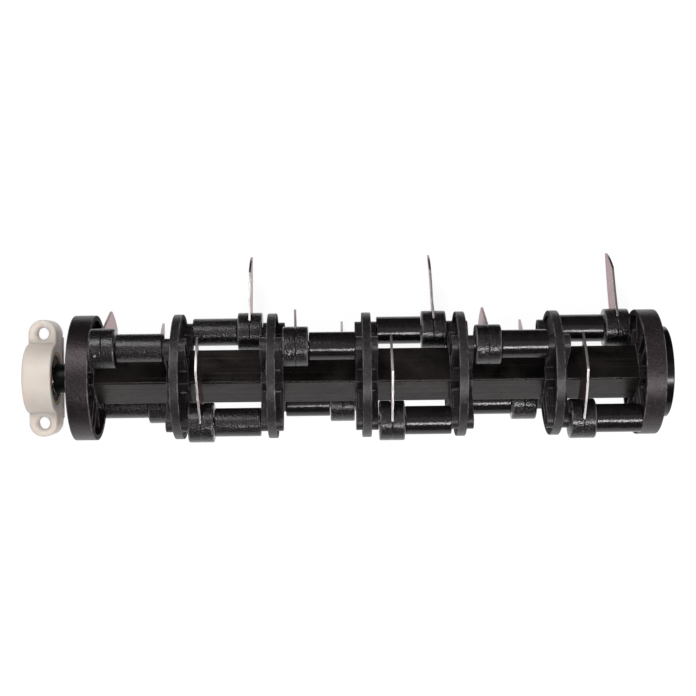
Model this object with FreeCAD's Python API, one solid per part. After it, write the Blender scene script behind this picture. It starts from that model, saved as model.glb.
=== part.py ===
import FreeCAD, Part
import math
import os
from FreeCAD import Vector

# Knife roller of a cordless lawn scarifier, lying on a table as it is photographed
# from above: a square core tube carries seven moulded discs, and the six bays
# between them each hold two free-swinging tines on short axle pins. The left end
# runs in a ball bearing inside a screw-on nylon bracket, the right end is driven.
# Millimetres. +X runs along the roller from the bracket to the drive end, +Z is up
# and the origin is the middle of the bracket's flat mounting face.
# Angles about the roller are counted from +Z towards +Y.

# Ball bearing
bearing_bore_radius = 6.0
bearing_outer_radius = 16.0
bearing_width = 10.0
bearing_edge = 0.6
ball_share = 0.2975
ball_count = 7
land_share = 0.23
groove_clearance = 0.12
cage_half_thickness = 0.8
cage_end_gap = 0.125
seal_thickness = 0.8
seal_inset = 0.35
seal_lip_gap = 0.15
seal_groove_depth = 0.7

# Bearing bracket
housing_wall = 5.0
base_wall = 5.0
end_wall = 2.4
cavity_depth = 4.2
bearing_recess = 0.5
bearing_shoulder = 2.6
ear_hole_inset = 6.0
ear_end_distance = 8.3
screw_hole_radius = 3.6
screw_seat_radius = 5.3
screw_seat_depth = 1.6
ear_plate = 7.0
ear_core_radius = 6.2
ear_edge = 1.5
bracket_edge = 0.8
foot_pad_proud = 0.5
foot_pad_height = 3.0
foot_pad_end_gap = 10.4

# Roller layout
bay_count = 6
disc_pitch = 56.0
arm_count = 4
roller_turn = 33.0
axle_circle_radius = 32.0

# Discs
arm_width = 11.0
arm_depth = 13.2
arm_edge = 0.5
arm_side_recess = 0.8
arm_flange = 1.6
arm_foot_length = 2.5
arm_pocket_depth = 4.0
arm_pocket_wall = 1.9
cup_rib_thickness = 1.2
cup_rib_drop = 2.0
cup_rib_turn = 30.0
rim_width = 5.4
rim_thickness = 3.0
rim_edge = 0.6
web_thickness = 2.4
collar_wall = 1.2
disc_fit = 0.1
left_overhang = 6.5
right_overhang = 5.3
end_wall_thickness = 3.0

# Core tube and its plugs
core_side = 23.6
core_wall = 1.5
core_corner_radius = 1.2
plug_fit = 0.1
plug_edge = 0.8
journal_plug_length = 28.0
cross_pin_radius = 2.0
cross_pin_seat = 3.0
cross_pin_inset = 5.0
cross_pin_end_wall = 1.5

# Journal at the bearing end
journal_exposed = 11.7
journal_shoulder_radius = 8.8
journal_tail = 3.0
journal_edge = 0.6
wall_hole_fit = 0.1
circlip_thickness = 1.0
circlip_side_gap = 0.1
circlip_groove_depth = 0.35
circlip_reach = 2.6
circlip_opening = 60.0

# Drive end
collar_step_radius = 27.6
collar_step_width = 1.2
drive_collar_radius = 27.3
drive_collar_width = 5.4
drive_collar_wall = 4.0
drive_collar_web = 1.6
drive_collar_edge = 0.5
drive_flange_overlap = 2.6
drive_flange_edge = 0.6
drive_plug_end_wall = 5.0
drive_bore_radius = 6.0
drive_bore_depth = 25.0
keyway_width = 4.0
keyway_depth = 1.8

# Axle pins and spacers
pin_radius = 3.0
pin_seat_depth = 4.8
pin_end_gap = 0.2
pin_edge = 0.4
spacer_radius = 8.4
spacer_edge = 0.5

# Tines
hub_radius = 11.7
hub_length = 15.0
hub_edge = 0.8
hub_end_clearance = 0.35
hub_running_clearance = 0.08
hub_bush_wall = 1.6
notch_depth = 2.2
notch_half_width = 2.6
notch_half_angle = 66.0
gate_radius = 1.0
gate_depth = 0.4
gate_offset = 3.5
knife_thickness = 1.4
knife_length = 51.0
knife_end_half_width = 9.25
knife_slant_length = 15.0
knife_slant_bulge = 1.2
knife_root_radius = 8.7
knife_root_height = 3.5
knife_cover = 0.35
rest_gap = 0.3

# Sizes that follow from the ones above
ball_room = bearing_outer_radius - bearing_bore_radius
ball_radius = ball_share * math.sqrt(ball_room * bearing_width)
cage_half_width = bearing_width / 2 - seal_inset - seal_thickness - cage_end_gap
land_gap = land_share * ball_room
ball_circle_radius = (bearing_bore_radius + bearing_outer_radius) / 2
inner_land_radius = ball_circle_radius - land_gap
outer_land_radius = ball_circle_radius + land_gap
groove_radius = ball_radius + groove_clearance
housing_radius = bearing_outer_radius + housing_wall
axis_height = bearing_outer_radius + base_wall
bracket_width = bearing_recess + bearing_width + cavity_depth + end_wall
bracket_right = bracket_width / 2
bracket_left = -bracket_width / 2
hole_offset = housing_radius + ear_hole_inset
bracket_half_length = hole_offset + ear_end_distance
bearing_right = bracket_right - bearing_recess
bearing_left = bearing_right - bearing_width
first_disc_x = bracket_right + journal_exposed + left_overhang
last_disc_x = first_disc_x + bay_count * disc_pitch
roller_left = first_disc_x - left_overhang
roller_right = last_disc_x + right_overhang
disc_radius = axle_circle_radius + arm_width / 2
core_half = core_side / 2
core_bore_half = core_half - core_wall
core_left = roller_left + end_wall_thickness
core_right = roller_right - end_wall_thickness
plug_half = core_bore_half - plug_fit
drive_seat_x = roller_right + collar_step_width
drive_flange_x = drive_seat_x + drive_collar_web
drive_end_x = drive_seat_x + drive_collar_width
drive_web_hole_radius = plug_half * math.sqrt(2)
drive_flange_radius = drive_web_hole_radius + drive_flange_overlap
journal_pin_x = core_left + cross_pin_inset
journal_pin_reach = core_half + disc_fit + cross_pin_seat
insert_pin_x = drive_end_x - drive_bore_depth - cross_pin_inset
drive_plug_left = insert_pin_x - cross_pin_radius - drive_plug_end_wall
bay_gap = disc_pitch - arm_depth
spacer_length = bay_gap - hub_length - 2 * hub_end_clearance
hub_bore_radius = pin_radius + hub_running_clearance
knife_eye_radius = hub_bore_radius + hub_bush_wall
knife_root_half_width = math.sqrt((hub_radius - knife_cover) ** 2 - knife_root_height ** 2)

X_AXIS = Vector(1, 0, 0)
Y_AXIS = Vector(0, 1, 0)
Z_AXIS = Vector(0, 0, 1)
ORIGIN = Vector(0, 0, 0)


# Basic solids, made about the X axis
def round_bar(x_start, x_end, radius):
    return Part.makeCylinder(radius, x_end - x_start, Vector(x_start, 0, 0), X_AXIS)


def square_bar(x_start, x_end, half_side):
    corner = Vector(x_start, -half_side, -half_side)
    return Part.makeBox(x_end - x_start, 2 * half_side, 2 * half_side, corner)


def long_edges(solid):
    return [edge for edge in solid.Edges
            if edge.BoundBox.YLength < 1e-6 and edge.BoundBox.ZLength < 1e-6]


def turned(profile):
    """Solid turned about the X axis from its (x, radius) corners."""
    corners = [Vector(x, 0, radius) for x, radius in profile]
    face = Part.Face(Part.makePolygon(corners + corners[:1]))
    return face.revolve(ORIGIN, X_AXIS, 360)


def turned_ring(x_start, x_end, outer_radius, inner_radius, edge):
    """Ring about the X axis with both outer edges chamfered."""
    return turned([
        (x_start, inner_radius),
        (x_end, inner_radius),
        (x_end, outer_radius - edge),
        (x_end - edge, outer_radius),
        (x_start + edge, outer_radius),
        (x_start, outer_radius - edge),
    ])


def turned_pin(x_start, x_end, radius, edge):
    """Bar about the X axis with both ends chamfered."""
    return turned_ring(x_start, x_end, radius, 0, edge)


def at_angle(solid, angle):
    """Copy turned about the X axis, from +Z towards +Y."""
    turned_copy = solid.copy()
    turned_copy.rotate(ORIGIN, X_AXIS, -angle)
    return turned_copy


def on_roller(solid):
    """Copy moved from the X axis up to the roller's axis."""
    moved = solid.copy()
    moved.translate(Vector(0, 0, axis_height))
    return moved


# Bearing
def ball_centres():
    middle = (bearing_left + bearing_right) / 2
    step = 360 / ball_count
    angles = [math.radians(step * index) for index in range(ball_count)]
    return [Vector(middle, ball_circle_radius * math.sin(angle), ball_circle_radius * math.cos(angle))
            for angle in angles]


def ball_groove():
    middle = (bearing_left + bearing_right) / 2
    return Part.makeTorus(ball_circle_radius, groove_radius, Vector(middle, 0, 0), X_AXIS)


def make_outer_ring():
    ring = turned_ring(bearing_left, bearing_right, bearing_outer_radius, outer_land_radius, bearing_edge)
    seal_seat_radius = outer_land_radius + seal_groove_depth
    for seal_left, seal_right in seal_places():
        ring = ring.cut(round_bar(seal_left, seal_right, seal_seat_radius))
    return ring.cut(ball_groove())


def make_inner_ring():
    ring = turned([
        (bearing_left, bearing_bore_radius),
        (bearing_right, bearing_bore_radius),
        (bearing_right, inner_land_radius),
        (bearing_left, inner_land_radius),
    ])
    return ring.cut(ball_groove())


def seal_places():
    """Left and right face of each seal."""
    left_start = bearing_left + seal_inset
    right_start = bearing_right - seal_inset - seal_thickness
    return [(start, start + seal_thickness) for start in (left_start, right_start)]


def make_seals():
    outer = outer_land_radius + seal_groove_depth
    inner = inner_land_radius + seal_lip_gap
    return [round_bar(left, right, outer).cut(round_bar(left, right, inner))
            for left, right in seal_places()]


def make_cage():
    middle = (bearing_left + bearing_right) / 2
    outer = ball_circle_radius + cage_half_thickness
    inner = ball_circle_radius - cage_half_thickness
    left, right = middle - cage_half_width, middle + cage_half_width
    cage = round_bar(left, right, outer).cut(round_bar(left, right, inner))
    for centre in ball_centres():
        cage = cage.cut(Part.makeSphere(ball_radius, centre))
    return cage


def make_balls():
    return [Part.makeSphere(ball_radius, centre) for centre in ball_centres()]


# Bracket
def ear_slab():
    """Block with round ends, seen from above, from the mounting face to the axis."""
    half_width = bracket_width / 2
    straight = bracket_half_length - half_width
    side_start = Vector(half_width, -straight, 0)
    side_end = Vector(half_width, straight, 0)
    far_start = Vector(-half_width, straight, 0)
    far_end = Vector(-half_width, -straight, 0)
    outline = Part.Wire([
        Part.LineSegment(side_start, side_end).toShape(),
        Part.Arc(side_end, Vector(0, bracket_half_length, 0), far_start).toShape(),
        Part.LineSegment(far_start, far_end).toShape(),
        Part.Arc(far_end, Vector(0, -bracket_half_length, 0), side_start).toShape(),
    ])
    slab = Part.Face(outline).extrude(Z_AXIS * axis_height)
    top_edges = [edge for edge in slab.Edges if edge.BoundBox.ZMin > axis_height - 1e-3]
    return slab.makeChamfer(ear_edge, top_edges)


def screw_opening(y):
    """Screw hole with a sloping seat at its top, above the wider hollow inside the ear."""
    hollow_top = axis_height - ear_plate
    seat_bottom = axis_height - screw_seat_depth
    outline = Part.makePolygon([
        Vector(0, y, 0),
        Vector(ear_core_radius, y, 0),
        Vector(ear_core_radius, y, hollow_top),
        Vector(screw_hole_radius, y, hollow_top),
        Vector(screw_hole_radius, y, seat_bottom),
        Vector(screw_seat_radius, y, axis_height),
        Vector(0, y, axis_height),
        Vector(0, y, 0),
    ])
    return Part.Face(outline).revolve(Vector(0, y, 0), Z_AXIS, 360)


def make_bracket():
    crown = turned_ring(bracket_left, bracket_right, housing_radius, 0, bracket_edge)
    pad_half_length = bracket_half_length - foot_pad_end_gap
    foot_pad = Part.makeBox(foot_pad_proud, 2 * pad_half_length, foot_pad_height,
                            Vector(bracket_right, -pad_half_length, 0))
    bracket = ear_slab().fuse(on_roller(crown)).fuse(foot_pad)
    pocket = round_bar(bearing_left, bracket_right, bearing_outer_radius)
    cavity_radius = bearing_outer_radius - bearing_shoulder
    cavity = round_bar(bearing_left - cavity_depth, bearing_left, cavity_radius)
    bracket = bracket.cut(on_roller(pocket)).cut(on_roller(cavity))
    for y in (-hole_offset, hole_offset):
        bracket = bracket.cut(screw_opening(y))
    return bracket.removeSplitter()


# Discs
def arm(x_start, x_end):
    """Upright arm, round about the axle at its end, with a shallow recess in each side."""
    half = arm_width / 2
    outline = Part.Wire([
        Part.LineSegment(Vector(x_start, half, 0), Vector(x_start, half, axle_circle_radius)).toShape(),
        Part.Arc(Vector(x_start, half, axle_circle_radius),
                 Vector(x_start, 0, axle_circle_radius + half),
                 Vector(x_start, -half, axle_circle_radius)).toShape(),
        Part.LineSegment(Vector(x_start, -half, axle_circle_radius), Vector(x_start, -half, 0)).toShape(),
        Part.LineSegment(Vector(x_start, -half, 0), Vector(x_start, half, 0)).toShape(),
    ])
    solid = Part.Face(outline).extrude(X_AXIS * (x_end - x_start))
    face_edges = [edge for edge in solid.Edges
                  if edge.BoundBox.XLength < 1e-6 and edge.BoundBox.ZMax > 1e-3]
    solid = solid.makeChamfer(arm_edge, face_edges)
    recess_width = x_end - x_start - 2 * arm_flange
    recess_bottom = core_half + arm_foot_length
    recess_height = axle_circle_radius - arm_width / 2 - recess_bottom
    for y in (-half, half - arm_side_recess):
        corner = Vector(x_start + arm_flange, y, recess_bottom)
        solid = solid.cut(Part.makeBox(recess_width, arm_side_recess, recess_height, corner))
    return solid


def arms(x_start, x_end):
    single = arm(x_start, x_end)
    copies = [at_angle(single, 360 / arm_count * index) for index in range(arm_count)]
    return copies[0].multiFuse(copies[1:])


def pin_holes(x_start, x_end):
    """Holes for the pin ends, on the axle circle."""
    hole = Part.makeCylinder(pin_radius, x_end - x_start, Vector(x_start, 0, axle_circle_radius), X_AXIS)
    return [at_angle(hole, 360 / arm_count * index) for index in range(arm_count)]


def arm_pocket(x_start, x_end):
    """Pocket along one arm, round about the axle at its outer end."""
    half = arm_width / 2 - arm_pocket_wall
    bottom = core_half + arm_foot_length
    length = axle_circle_radius - bottom
    channel = Part.makeBox(x_end - x_start, 2 * half, length, Vector(x_start, -half, bottom))
    round_end = Part.makeCylinder(half, x_end - x_start, Vector(x_start, 0, axle_circle_radius), X_AXIS)
    return channel.fuse(round_end)


def cup_ribs(x_start, x_end):
    """Thin ribs across an end cup, two in each quarter between the arms."""
    length = disc_radius - rim_thickness / 2 - core_half
    rib = Part.makeBox(x_end - x_start, cup_rib_thickness, length,
                       Vector(x_start, -cup_rib_thickness / 2, core_half))
    quarter = 360 / arm_count
    turns = [quarter * index + offset for index in range(arm_count)
             for offset in (cup_rib_turn, quarter - cup_rib_turn)]
    return [at_angle(rib, turn) for turn in turns]


def core_hole(x_start, x_end):
    """Square hole that slides over the core tube."""
    hole = square_bar(x_start, x_end, core_half + disc_fit)
    return hole.makeFillet(core_corner_radius, long_edges(hole))


def disc_body(web_span, rim_span, arm_span):
    """Rim, web, square collar and arms of one disc, each from its left to its right face."""
    rim = turned_ring(*rim_span, disc_radius, disc_radius - rim_thickness, rim_edge)
    web = round_bar(*web_span, disc_radius - rim_thickness / 2)
    collar = square_bar(*arm_span, core_half + disc_fit + collar_wall)
    return rim.multiFuse([web, collar, arms(*arm_span)])


def cut_arm_faces(disc, centre_x, bay, side):
    """Blind holes for the pins of one bay, and pockets in the arms that hold none.

    side is +1 where the bay lies to the right of the disc.
    """
    face_x = centre_x + side * arm_depth / 2
    seat_x = face_x - side * (pin_seat_depth + pin_end_gap)
    pocket_x = face_x - side * arm_pocket_depth
    holes = pin_holes(min(face_x, seat_x), max(face_x, seat_x))
    pocket = arm_pocket(min(face_x, pocket_x), max(face_x, pocket_x))
    for index in range(arm_count):
        if index in bay_arms(bay):
            disc = disc.cut(holes[index])
        else:
            disc = disc.cut(at_angle(pocket, 360 / arm_count * index))
    return disc


def bay_arms(bay):
    """Arms that hold the pins of a bay: every other bay uses the other pair."""
    first = bay % 2
    return [first, first + arm_count // 2]


def make_middle_disc(index):
    """Disc between two bays; index counts from 1 after the left end disc."""
    centre_x = first_disc_x + index * disc_pitch
    web_span = (centre_x - web_thickness / 2, centre_x + web_thickness / 2)
    rim_span = (centre_x - rim_width / 2, centre_x + rim_width / 2)
    arm_span = (centre_x - arm_depth / 2, centre_x + arm_depth / 2)
    disc = disc_body(web_span, rim_span, arm_span)
    disc = disc.cut(core_hole(*arm_span))
    disc = cut_arm_faces(disc, centre_x, index - 1, -1)
    return cut_arm_faces(disc, centre_x, index, 1)


def make_left_disc():
    """Cup that closes the roller at the bearing end."""
    inner_face = first_disc_x + arm_depth / 2
    cup_span = (roller_left, inner_face)
    disc = disc_body((roller_left, core_left), cup_span, cup_span)
    disc = disc.multiFuse(cup_ribs(core_left, inner_face - cup_rib_drop))
    disc = disc.cut(core_hole(core_left, inner_face))
    disc = disc.cut(round_bar(roller_left, core_left, journal_shoulder_radius + wall_hole_fit))
    disc = disc.cut(cross_hole(journal_pin_x, -journal_pin_reach, disc_radius))
    return cut_arm_faces(disc, first_disc_x, 0, 1)


def make_right_disc():
    """Cup that closes the roller at the drive end, with a step for the drive collar."""
    inner_face = last_disc_x - arm_depth / 2
    cup_span = (inner_face, roller_right)
    disc = disc_body((core_right, roller_right), cup_span, cup_span)
    disc = disc.multiFuse(cup_ribs(inner_face + cup_rib_drop, core_right))
    disc = disc.fuse(round_bar(roller_right, drive_seat_x, collar_step_radius))
    disc = disc.cut(core_hole(inner_face, core_right))
    disc = disc.cut(square_bar(core_right, drive_seat_x, core_bore_half))
    return cut_arm_faces(disc, last_disc_x, bay_count - 1, -1)


# Core
def make_core_tube():
    outside = square_bar(core_left, core_right, core_half)
    outside = outside.makeFillet(core_corner_radius, long_edges(outside))
    tube = outside.cut(square_bar(core_left, core_right, core_bore_half))
    tube = tube.cut(make_journal_pin())
    return tube.cut(make_insert_pin())


def cross_hole(x, y_start, y_end):
    """Round bar across the core, along +Y."""
    return Part.makeCylinder(cross_pin_radius, y_end - y_start, Vector(x, y_start, 0), Y_AXIS)


def make_journal_pin():
    """Pin through disc, tube and journal; it goes in down the hollow of one arm."""
    return cross_hole(journal_pin_x, -journal_pin_reach, journal_pin_reach)


def make_insert_pin():
    """Pin from one face of the tube into the drive insert, short of the far wall."""
    return cross_hole(insert_pin_x, cross_pin_end_wall - plug_half, core_half)


def square_plug(x_start, x_end):
    plug = square_bar(x_start, x_end, plug_half)
    return plug.makeChamfer(plug_edge, long_edges(plug))


def circlip_groove_x():
    return bearing_left - circlip_side_gap - circlip_thickness


def make_journal():
    """Bearing seat, shoulder and square plug in one piece."""
    tail_x = bearing_left - journal_tail
    groove_left = circlip_groove_x()
    groove_right = groove_left + circlip_thickness
    groove_bottom = bearing_bore_radius - circlip_groove_depth
    shaft = turned([
        (tail_x, 0),
        (core_left, 0),
        (core_left, journal_shoulder_radius),
        (bearing_right + journal_edge, journal_shoulder_radius),
        (bearing_right, journal_shoulder_radius - journal_edge),
        (bearing_right, bearing_bore_radius),
        (groove_right, bearing_bore_radius),
        (groove_right, groove_bottom),
        (groove_left, groove_bottom),
        (groove_left, bearing_bore_radius),
        (tail_x + journal_edge, bearing_bore_radius),
        (tail_x, bearing_bore_radius - journal_edge),
    ])
    journal = shaft.fuse(square_plug(core_left, core_left + journal_plug_length))
    return journal.cut(make_journal_pin())


def make_circlip():
    """Open ring that keeps the bearing on its seat."""
    left = circlip_groove_x()
    right = left + circlip_thickness
    inner = bearing_bore_radius - circlip_groove_depth
    ring = round_bar(left, right, inner + circlip_reach).cut(round_bar(left, right, inner))
    reach = 2 * (inner + circlip_reach)
    half_opening = reach * math.tan(math.radians(circlip_opening / 2))
    wedge = Part.Face(Part.makePolygon([
        Vector(left, 0, 0),
        Vector(left, half_opening, reach),
        Vector(left, -half_opening, reach),
        Vector(left, 0, 0),
    ])).extrude(X_AXIS * circlip_thickness)
    return ring.cut(wedge)


# Drive end
def make_drive_insert():
    """Steel plug in the tube's right end, with a flange and a keyed bore for the drive shaft."""
    flange = turned_pin(drive_flange_x, drive_end_x, drive_flange_radius, drive_flange_edge)
    insert = flange.fuse(square_plug(drive_plug_left, drive_flange_x))
    bore_bottom = drive_end_x - drive_bore_depth
    insert = insert.cut(round_bar(bore_bottom, drive_end_x, drive_bore_radius))
    keyway = Part.makeBox(drive_bore_depth, keyway_width, drive_bore_radius + keyway_depth,
                          Vector(bore_bottom, -keyway_width / 2, 0))
    return insert.cut(keyway).cut(make_insert_pin())


def make_drive_collar():
    """Glossy ring whose thin web is clamped between the end disc and the insert's flange."""
    ring_inner_radius = drive_collar_radius - drive_collar_wall
    return turned([
        (drive_seat_x, drive_web_hole_radius),
        (drive_flange_x, drive_web_hole_radius),
        (drive_flange_x, ring_inner_radius),
        (drive_end_x, ring_inner_radius),
        (drive_end_x, drive_collar_radius - drive_collar_edge),
        (drive_end_x - drive_collar_edge, drive_collar_radius),
        (drive_seat_x + drive_collar_edge, drive_collar_radius),
        (drive_seat_x, drive_collar_radius - drive_collar_edge),
    ])


# Tines
def make_knife():
    """Flat knife about its axle, pointing up, with its tip on the +Y side."""
    left = -knife_thickness / 2
    root = knife_root_half_width
    end = knife_end_half_width
    shoulder_z = knife_length - knife_slant_length
    tip = Vector(left, end, knife_length)
    shoulder = Vector(left, -end, shoulder_z)
    front_root = Vector(left, root, knife_root_height)
    back_root = Vector(left, -root, knife_root_height)
    front_side = Vector(left, knife_root_radius, 0)
    back_side = Vector(left, -knife_root_radius, 0)
    slant_length = math.hypot(2 * end, knife_slant_length)
    bulge_point = Vector(left, -knife_slant_bulge * knife_slant_length / slant_length,
                         (knife_length + shoulder_z) / 2 + knife_slant_bulge * 2 * end / slant_length)
    outline = Part.Wire([
        Part.LineSegment(front_side, front_root).toShape(),
        Part.LineSegment(front_root, tip).toShape(),
        Part.Arc(tip, bulge_point, shoulder).toShape(),
        Part.LineSegment(shoulder, back_root).toShape(),
        Part.LineSegment(back_root, back_side).toShape(),
        Part.Arc(back_side, Vector(left, 0, -knife_root_radius), front_side).toShape(),
    ])
    knife = Part.Face(outline).extrude(X_AXIS * knife_thickness)
    return knife.cut(round_bar(left, -left, knife_eye_radius))


def hub_notch():
    """Vee groove round the side of the hub where the knife comes out."""
    profile = Part.Face(Part.makePolygon([
        Vector(-notch_half_width, 0, hub_radius + hub_edge),
        Vector(0, 0, hub_radius - notch_depth),
        Vector(notch_half_width, 0, hub_radius + hub_edge),
        Vector(-notch_half_width, 0, hub_radius + hub_edge),
    ]))
    groove = profile.revolve(ORIGIN, X_AXIS, 2 * notch_half_angle)
    return at_angle(groove, notch_half_angle)


def make_hub(knife):
    """Moulded hub about its axle, with the knife's root inside it."""
    half = hub_length / 2
    hub = turned_ring(-half, half, hub_radius, hub_bore_radius, hub_edge)
    hub = hub.cut(hub_notch())
    gate = Part.makeCylinder(gate_radius, gate_depth, Vector(-gate_offset, 0, -hub_radius), Z_AXIS)
    return hub.cut(gate).cut(knife)


def swing_limit():
    """Angle from straight outwards at which the knife's front edge nears the core's corner."""
    corner = core_half - core_corner_radius
    corner_distance = math.hypot(corner, axle_circle_radius - corner)
    corner_angle = 180 - math.degrees(math.atan2(corner, axle_circle_radius - corner))
    taper = math.atan2(knife_root_half_width - knife_end_half_width, knife_length - knife_root_height)
    edge_distance = knife_root_half_width * math.cos(taper) + knife_root_height * math.sin(taper)
    reach = edge_distance + core_corner_radius + rest_gap
    return corner_angle - math.degrees(math.asin(reach / corner_distance) - taper)


def axle_angle(arm_index):
    return roller_turn + 360 / arm_count * arm_index


def axle_height(arm_index):
    return axle_circle_radius * math.cos(math.radians(axle_angle(arm_index)))


def angle_on_table(arm_index):
    """Direction of a knife whose tip lies on the table under the roller."""
    table = min(axle_height(index) for index in range(arm_count)) - hub_radius
    tip_distance = math.hypot(knife_length, knife_end_half_width)
    dip = math.asin((axle_height(arm_index) - table) / tip_distance)
    return 90 + math.degrees(dip - math.atan2(knife_end_half_width, knife_length))


def knife_angle(arm_index):
    """Direction of a knife at rest: it leans on the core or lies on the table."""
    leans_on_core = math.cos(math.radians(axle_angle(arm_index))) > 0
    if leans_on_core:
        return axle_angle(arm_index) + swing_limit()
    return angle_on_table(arm_index)


def on_axle(solid, arm_index, x, angle):
    """Copy turned to its angle and moved to its axle on the roller."""
    placed = at_angle(solid, angle)
    around = math.radians(axle_angle(arm_index))
    placed.translate(Vector(x, axle_circle_radius * math.sin(around), axle_circle_radius * math.cos(around)))
    return on_roller(placed)


def bay_left(bay):
    """Left wall of a bay: the arm face of the disc on its left."""
    return first_disc_x + bay * disc_pitch + arm_depth / 2


def tine_places():
    """Arm, hub centre and spacer start of each tine, counted along the roller."""
    places = []
    for bay in range(bay_count):
        left = bay_left(bay)
        right = left + bay_gap
        hub_inset = hub_end_clearance + hub_length / 2
        first, second = bay_arms(bay)
        left_arm, right_arm = (first, second) if bay % 2 == 0 else (second, first)
        places.append((left_arm, left + hub_inset, right - spacer_length))
        places.append((right_arm, right - hub_inset, left))
    return places


def make_axle_pins():
    """One pin for each tine, from disc to disc."""
    pins = []
    for bay in range(bay_count):
        left = bay_left(bay) - pin_seat_depth
        right = bay_left(bay) + bay_gap + pin_seat_depth
        pin = turned_pin(left, right, pin_radius, pin_edge)
        pins += [on_axle(pin, arm_index, 0, 0) for arm_index in bay_arms(bay)]
    return pins


def make_spacer():
    return turned_ring(0, spacer_length, spacer_radius, pin_radius, spacer_edge)


# Files, one for each named piece
def save(name, shape):
    shape.exportStep("parts/" + name + ".step")


def save_on_roller(name, shape):
    save(name, on_roller(shape))


def save_turned(name, shape):
    """Save a piece of the roller itself, turned as the roller lies."""
    save(name, on_roller(at_angle(shape, roller_turn)))


os.makedirs("parts", exist_ok=True)

save("bearing_bracket", make_bracket())
save_on_roller("bearing_outer_ring", make_outer_ring())
save_on_roller("bearing_inner_ring", make_inner_ring())
save_on_roller("bearing_seals", Part.makeCompound(make_seals()))
save_on_roller("bearing_cage", make_cage())
save_on_roller("bearing_balls", Part.makeCompound(make_balls()))
save_turned("bearing_circlip", make_circlip())
save_turned("bearing_journal", make_journal())

save_turned("core_tube", make_core_tube())
save_turned("journal_pin", make_journal_pin())
save_turned("insert_pin", make_insert_pin())
save_turned("end_disc_left", make_left_disc())
for disc_index in range(1, bay_count):
    save_turned("disc_" + str(disc_index), make_middle_disc(disc_index))
save_turned("end_disc_right", make_right_disc())
save_turned("drive_insert", make_drive_insert())
save_turned("drive_collar", make_drive_collar())

save("axle_pins", Part.makeCompound(make_axle_pins()))
knife_blank = make_knife()
hub_blank = make_hub(knife_blank)
spacer_blank = make_spacer()
for number, (tine_arm, hub_x, spacer_x) in enumerate(tine_places(), start=1):
    rest_angle = knife_angle(tine_arm)
    save("knife_" + str(number), on_axle(knife_blank, tine_arm, hub_x, rest_angle))
    save("tine_hub_" + str(number), on_axle(hub_blank, tine_arm, hub_x, rest_angle))
    save("spacer_" + str(number), on_axle(spacer_blank, tine_arm, spacer_x, 0))
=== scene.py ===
import math

import bmesh
import bpy
from mathutils import Matrix, Vector


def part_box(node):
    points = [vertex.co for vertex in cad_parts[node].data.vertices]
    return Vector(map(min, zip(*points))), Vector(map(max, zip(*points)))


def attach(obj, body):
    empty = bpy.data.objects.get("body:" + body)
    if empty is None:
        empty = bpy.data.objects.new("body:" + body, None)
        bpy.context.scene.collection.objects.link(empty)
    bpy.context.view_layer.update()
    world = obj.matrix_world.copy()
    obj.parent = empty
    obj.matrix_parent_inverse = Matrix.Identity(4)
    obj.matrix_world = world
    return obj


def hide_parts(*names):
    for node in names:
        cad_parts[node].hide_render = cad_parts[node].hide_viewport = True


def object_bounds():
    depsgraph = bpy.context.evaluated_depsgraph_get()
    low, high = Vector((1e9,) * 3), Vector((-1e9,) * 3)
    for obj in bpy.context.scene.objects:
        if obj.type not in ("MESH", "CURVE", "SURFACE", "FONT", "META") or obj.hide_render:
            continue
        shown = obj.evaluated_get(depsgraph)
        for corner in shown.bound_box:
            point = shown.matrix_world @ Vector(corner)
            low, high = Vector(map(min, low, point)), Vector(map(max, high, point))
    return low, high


# Looks of the knife roller. Lengths are in millimetres until a mesh is made, and
# angles about the roller count from +Z towards +Y, as in the part's own source.

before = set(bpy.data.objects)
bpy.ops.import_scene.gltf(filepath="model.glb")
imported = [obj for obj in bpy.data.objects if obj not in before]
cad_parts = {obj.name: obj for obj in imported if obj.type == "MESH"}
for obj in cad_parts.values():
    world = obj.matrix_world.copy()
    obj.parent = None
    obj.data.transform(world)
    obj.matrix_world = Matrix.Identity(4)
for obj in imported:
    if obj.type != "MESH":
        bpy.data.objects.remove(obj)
cad_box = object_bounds()

MM = 0.001
overshoot = 1.0     # how far a piece that cuts reaches past the surface
overlap = 0.3       # how far the parts of a disc reach into each other
hair = 0.02         # keeps two faces from lying in one plane

# The roller's own sizes, as the CAD solids have them
axis_height = 21.0
roller_turn = 33.0
arm_count = 4
middle_disc_count = 5
tine_count = 12
spacer_count = 12
rough_spacer_count = 4
axle_circle_radius = 32.0
core_half = 11.8
core_corner_radius = 1.2
core_bore_half = 10.3
plug_half = 10.2

# Discs
disc_radius = 37.5
rim_width = 5.4
rim_thickness = 3.0
rim_edge = 0.6
disc_edge_face = 0.42       # faces of the discs narrower than this count as edges
web_thickness = 2.4
arm_width = 11.0
arm_depth = 13.2
arm_edge = 0.45
arm_side_recess = 0.8
arm_flange = 1.6
arm_foot_length = 2.5
arm_pocket_depth = 4.0
arm_pocket_wall = 1.9
collar_half = 13.1
collar_hole_half = 11.9
cup_wall = 3.0
cup_rib_thickness = 1.2
cup_rib_drop = 2.0
cup_rib_turn = 30.0
cross_hole_radius = 2.0
cross_hole_x = 28.25
cross_hole_start = -20.0
cross_hole_end = 40.0
journal_radius = 8.8
journal_hole_radius = 8.9
collar_step_radius = 27.6
collar_step_width = 1.2

# Drive end
drive_collar_radius = 27.3
drive_collar_wall = 4.0
drive_collar_web = 1.6
drive_collar_hole_radius = 14.42
drive_flange_radius = 17.02
drive_flange_width = 2.6
drive_bore_radius = 6.0
drive_bore_depth = 25.0
keyway_half_width = 2.0
keyway_top = 7.8

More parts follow.
